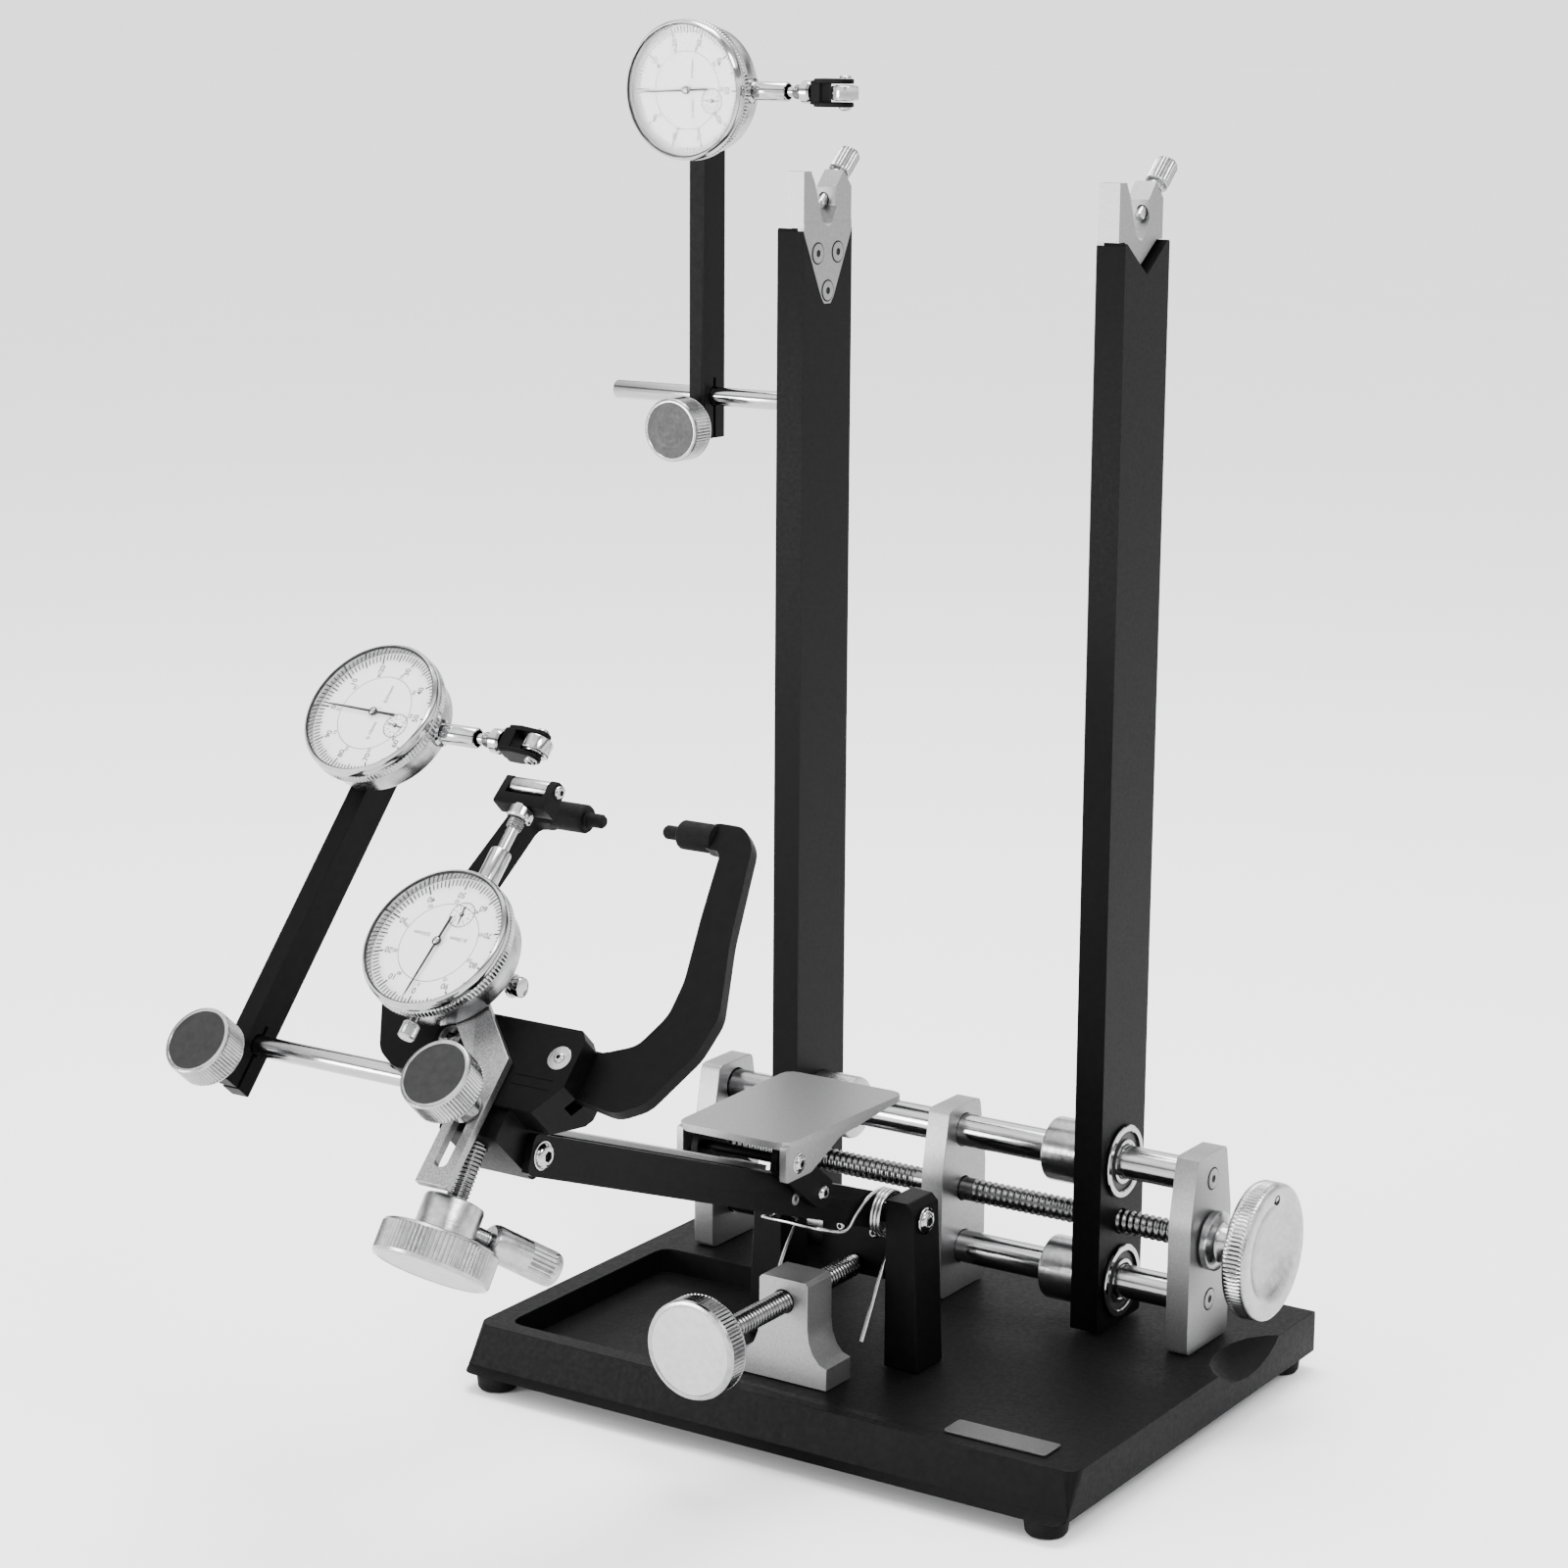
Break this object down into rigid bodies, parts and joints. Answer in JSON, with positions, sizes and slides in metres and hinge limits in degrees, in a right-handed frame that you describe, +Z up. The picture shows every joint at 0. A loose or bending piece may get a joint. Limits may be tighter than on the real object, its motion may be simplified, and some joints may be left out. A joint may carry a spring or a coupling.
{
  "type": "bicycle wheel truing stand",
  "caption": "Bench stand that holds a bicycle wheel between sliding uprights, with rim calipers and dial indicators to read runout.",
  "frame": {"origin": "centre of the whole part's bounding box at the bottom of the rubber feet", "axes": "+X along the guide rods towards the handwheel, +Y away from the caliper arm to the back of the base, +Z up"},
  "size_m": [0.3276, 0.4366, 0.56],
  "materials": {
    "black_enamel": "black satin powder coat",
    "satin_silver": "machined and satin nickel plated",
    "bright_steel": "polished bright plating",
    "dark_steel": "dark oxide with worn edges",
    "black_rubber": "matt",
    "dial_face": "off-white printed dial in a bright bezel",
    "hand_black": "black"
  },
  "bodies": {
    "stand": {"base_plate": "black_enamel", "foot_front_left": "black_rubber", "foot_front_right": "black_rubber", "foot_rear_left": "black_rubber", "foot_rear_right": "black_rubber", "name_plate": "satin_silver", "block_left": "satin_silver", "block_centre": "satin_silver", "block_right": "satin_silver", "guide_rod_upper": "bright_steel", "guide_rod_lower": "bright_steel", "post_right": "black_enamel", "post_left": "black_enamel", "pivot_shaft": "bright_steel", "screw_block": "satin_silver", "torsion_spring": "dark_steel"},
    "drive": {"lead_screw": "dark_steel", "handwheel": "satin_silver"},
    "right_side": {"upright_right": "black_enamel", "dropout_right": "satin_silver", "bearing_right_upper": "bright_steel", "bearing_right_lower": "bright_steel"},
    "left_side": {"upright_left": "black_enamel", "dropout_left": "satin_silver", "bearing_left_upper": "bright_steel", "bearing_left_lower": "bright_steel", "rod_1": "bright_steel"},
    "right_thumbscrew": {"thumbscrew_right": "bright_steel"},
    "left_thumbscrew": {"thumbscrew_left": "bright_steel"},
    "gauge_bar_1": {"bar_1": "black_enamel", "dial_1_case": "satin_silver"},
    "clamp_knob_1": {"knob_1": "satin_silver"},
    "gauge_bar_2": {"bar_2": "black_enamel", "dial_2_case": "satin_silver"},
    "clamp_knob_2": {"knob_2": "satin_silver"},
    "arm": {"arm_channel": "black_enamel", "lever_yoke": "black_enamel"},
    "lever": {"thumb_lever": "satin_silver"},
    "strip": {"pull_strip": "satin_silver"},
    "head": {"head_body": "black_enamel", "rod_2": "bright_steel"},
    "right_caliper": {"caliper_right": "black_enamel"},
    "left_caliper": {"caliper_left": "black_enamel"},
    "adjusting_knob": {"head_knob": "satin_silver"},
    "gauge_bracket_3": {"bracket_3": "satin_silver", "dial_3_case": "satin_silver"},
    "clamp_knob_3": {"knob_3": "satin_silver"},
    "reach_screw": {"front_screw": "satin_silver"},
    "gauge_1_bezel": {"dial_1_bezel": "dial_face"},
    "gauge_1_hand": {"dial_1_hand": "hand_black"},
    "gauge_1_plunger": {"dial_1_plunger": "dark_steel"},
    "gauge_1_roller": {"dial_1_roller": "bright_steel"},
    "gauge_2_bezel": {"dial_2_bezel": "dial_face"},
    "gauge_2_hand": {"dial_2_hand": "hand_black"},
    "gauge_2_plunger": {"dial_2_plunger": "dark_steel"},
    "gauge_2_roller": {"dial_2_roller": "bright_steel"},
    "gauge_3_bezel": {"dial_3_bezel": "dial_face"},
    "gauge_3_hand": {"dial_3_hand": "hand_black"},
    "gauge_3_plunger": {"dial_3_plunger": "dark_steel"},
    "gauge_3_roller": {"dial_3_roller": "bright_steel"}
  },
  "joints": [
    {"name": "right_side_slide", "type": "slide", "parent": "stand", "child": "right_side", "axis": [1, 0, 0], "range_m": [-0.04, 0.024]},
    {"name": "handwheel_spin", "type": "hinge", "parent": "stand", "child": "drive", "pos_m": [0.012, 0.155, 0.0716], "axis": [1, 0, 0], "range_deg": [-3610, 2170]},
    {"name": "left_side_slide", "type": "slide", "parent": "stand", "child": "left_side", "axis": [1, 0, 0], "range_m": [-0.0241, 0.0401]},
    {"name": "right_thumbscrew_turn", "type": "hinge", "parent": "right_side", "child": "right_thumbscrew", "pos_m": [0.0866, 0.1588, 0.4844], "axis": [0, 0.7431, 0.6691], "range_deg": [0, 1080]},
    {"name": "left_thumbscrew_turn", "type": "hinge", "parent": "left_side", "child": "left_thumbscrew", "pos_m": [-0.0626, 0.1588, 0.4844], "axis": [0, 0.7431, 0.6691], "range_deg": [0, 1080]},
    {"name": "gauge_bar_1_tilt", "type": "hinge", "parent": "left_side", "child": "gauge_bar_1", "pos_m": [-0.117, 0.155, 0.402], "axis": [1, 0, 0], "range_deg": [-40, 40]},
    {"name": "clamp_knob_1_turn", "type": "hinge", "parent": "gauge_bar_1", "child": "clamp_knob_1", "pos_m": [-0.117, 0.155, 0.3895], "axis": [0, -1, 0], "range_deg": [0, 720]},
    {"name": "arm_tilt", "type": "hinge", "parent": "stand", "child": "arm", "pos_m": [0.012, 0.0664, 0.0887], "axis": [1, 0, 0], "range_deg": [0, 12], "stiffness_Nm_per_rad": 8, "springref_deg": -37.24, "deforming": ["torsion_spring"]},
    {"name": "lever_press", "type": "hinge", "parent": "arm", "child": "lever", "pos_m": [0.012, -0.00672, 0.13019], "axis": [1, 0, 0], "range_deg": [-10.01, 7.51]},
    {"name": "strip_pull", "type": "slide", "parent": "arm", "child": "strip", "axis": [0, 0.9373, -0.3486], "range_m": [-0.00132, 0.00176]},
    {"name": "head_tilt", "type": "hinge", "parent": "arm", "child": "head", "pos_m": [0.012, -0.15692, 0.17196], "axis": [1, 0, 0], "range_deg": [-10, 10]},
    {"name": "right_caliper_swing", "type": "hinge", "parent": "head", "child": "right_caliper", "pos_m": [0.0355, -0.149, 0.2006], "axis": [0, -0.7193, 0.6947], "range_deg": [-10, 7.5], "stiffness_Nm_per_rad": 4, "springref_deg": 1.15},
    {"name": "left_caliper_swing", "type": "hinge", "parent": "head", "child": "left_caliper", "pos_m": [-0.0115, -0.149, 0.2006], "axis": [0, -0.7193, 0.6947], "range_deg": [-7.51, 10.01]},
    {"name": "adjusting_knob_turn", "type": "hinge", "parent": "head", "child": "adjusting_knob", "pos_m": [0.012, -0.1746, 0.17639], "axis": [0, 0.5786, 0.8156], "range_deg": [-1080, 1080]},
    {"name": "gauge_bar_2_tilt", "type": "hinge", "parent": "head", "child": "gauge_bar_2", "pos_m": [-0.1121, -0.1508, 0.1879], "axis": [1, 0, 0], "range_deg": [-30, 40]},
    {"name": "clamp_knob_2_turn", "type": "hinge", "parent": "gauge_bar_2", "child": "clamp_knob_2", "pos_m": [-0.1121, -0.15903, 0.17849], "axis": [0, -0.7524, 0.6587], "range_deg": [0, 720]},
    {"name": "gauge_bracket_3_slide", "type": "slide", "parent": "head", "child": "gauge_bracket_3", "axis": [0, 0.6947, 0.7193], "range_m": [-0.004, 0.01]},
    {"name": "clamp_knob_3_turn", "type": "hinge", "parent": "head", "child": "clamp_knob_3", "pos_m": [0.012, -0.16776, 0.18118], "axis": [0, -0.7193, 0.6947], "range_deg": [0, 720]},
    {"name": "reach_screw_turn", "type": "hinge", "parent": "stand", "child": "reach_screw", "pos_m": [0.012, 0.031, 0.06], "axis": [0, -1, 0], "range_deg": [-720, 1080]},
    {"name": "gauge_1_bezel_turn", "type": "hinge", "parent": "gauge_bar_1", "child": "gauge_1_bezel", "pos_m": [-0.11, 0.1255, 0.531], "axis": [0, -1, 0], "continuous": true},
    {"name": "gauge_1_hand_sweep", "type": "hinge", "parent": "gauge_bar_1", "child": "gauge_1_hand", "pos_m": [-0.11, 0.1255, 0.531], "axis": [0, -1, 0], "range_deg": [0, 2348]},
    {"name": "gauge_1_plunger_slide", "type": "slide", "parent": "gauge_bar_1", "child": "gauge_1_plunger", "axis": [-1, 0, 0], "range_m": [0, 0.0065], "stiffness_N_per_m": 120, "springref_m": -0.006},
    {"name": "gauge_1_roller_spin", "type": "hinge", "parent": "gauge_1_plunger", "child": "gauge_1_roller", "pos_m": [-0.0382, 0.1388, 0.531], "axis": [0, 0, 1], "continuous": true},
    {"name": "gauge_2_bezel_turn", "type": "hinge", "parent": "gauge_bar_2", "child": "gauge_2_bezel", "pos_m": [-0.1058, -0.08671, 0.3059], "axis": [0, -0.7524, 0.6587], "continuous": true},
    {"name": "gauge_2_hand_sweep", "type": "hinge", "parent": "gauge_bar_2", "child": "gauge_2_hand", "pos_m": [-0.1058, -0.08671, 0.3059], "axis": [0, -0.7524, 0.6587], "range_deg": [0, 2348]},
    {"name": "gauge_2_plunger_slide", "type": "slide", "parent": "gauge_bar_2", "child": "gauge_2_plunger", "axis": [-1, 0, 0], "range_m": [0, 0.0065], "stiffness_N_per_m": 120, "springref_m": -0.006},
    {"name": "gauge_2_roller_spin", "type": "hinge", "parent": "gauge_2_plunger", "child": "gauge_2_roller", "pos_m": [-0.034, -0.0767, 0.29714], "axis": [0, 0.6587, 0.7524], "continuous": true},
    {"name": "gauge_3_bezel_turn", "type": "hinge", "parent": "gauge_bracket_3", "child": "gauge_3_bezel", "pos_m": [-0.0209, -0.15584, 0.2439], "axis": [0, -0.7193, 0.6947], "continuous": true},
    {"name": "gauge_3_hand_sweep", "type": "hinge", "parent": "gauge_bracket_3", "child": "gauge_3_hand", "pos_m": [-0.0209, -0.15584, 0.2439], "axis": [0, -0.7193, 0.6947], "range_deg": [0, 3608]},
    {"name": "gauge_3_plunger_slide", "type": "slide", "parent": "gauge_bracket_3", "child": "gauge_3_plunger", "axis": [0, -0.6947, -0.7193], "range_m": [0, 0.01], "stiffness_N_per_m": 120, "springref_m": -0.006},
    {"name": "gauge_3_roller_spin", "type": "hinge", "parent": "gauge_3_plunger", "child": "gauge_3_roller", "pos_m": [-0.0209, -0.09639, 0.28631], "axis": [-1, 0, 0], "continuous": true}
  ],
  "couplings": [
    {"joint": "gauge_1_hand_sweep", "follows": "gauge_1_plunger_slide", "rad_per_m": 6283.2},
    {"joint": "gauge_2_hand_sweep", "follows": "gauge_2_plunger_slide", "rad_per_m": 6283.2},
    {"joint": "gauge_3_hand_sweep", "follows": "gauge_3_plunger_slide", "rad_per_m": 6283.2},
    {"joint": "handwheel_spin", "follows": "right_side_slide", "rad_per_m": 1570.8},
    {"joint": "left_side_slide", "follows": "right_side_slide", "ratio": -1},
    {"joint": "left_caliper_swing", "follows": "right_caliper_swing", "ratio": -1},
    {"joint": "lever_press", "follows": "right_caliper_swing", "ratio": 1},
    {"joint": "strip_pull", "follows": "right_caliper_swing", "m_per_rad": -0.01}
  ]
}
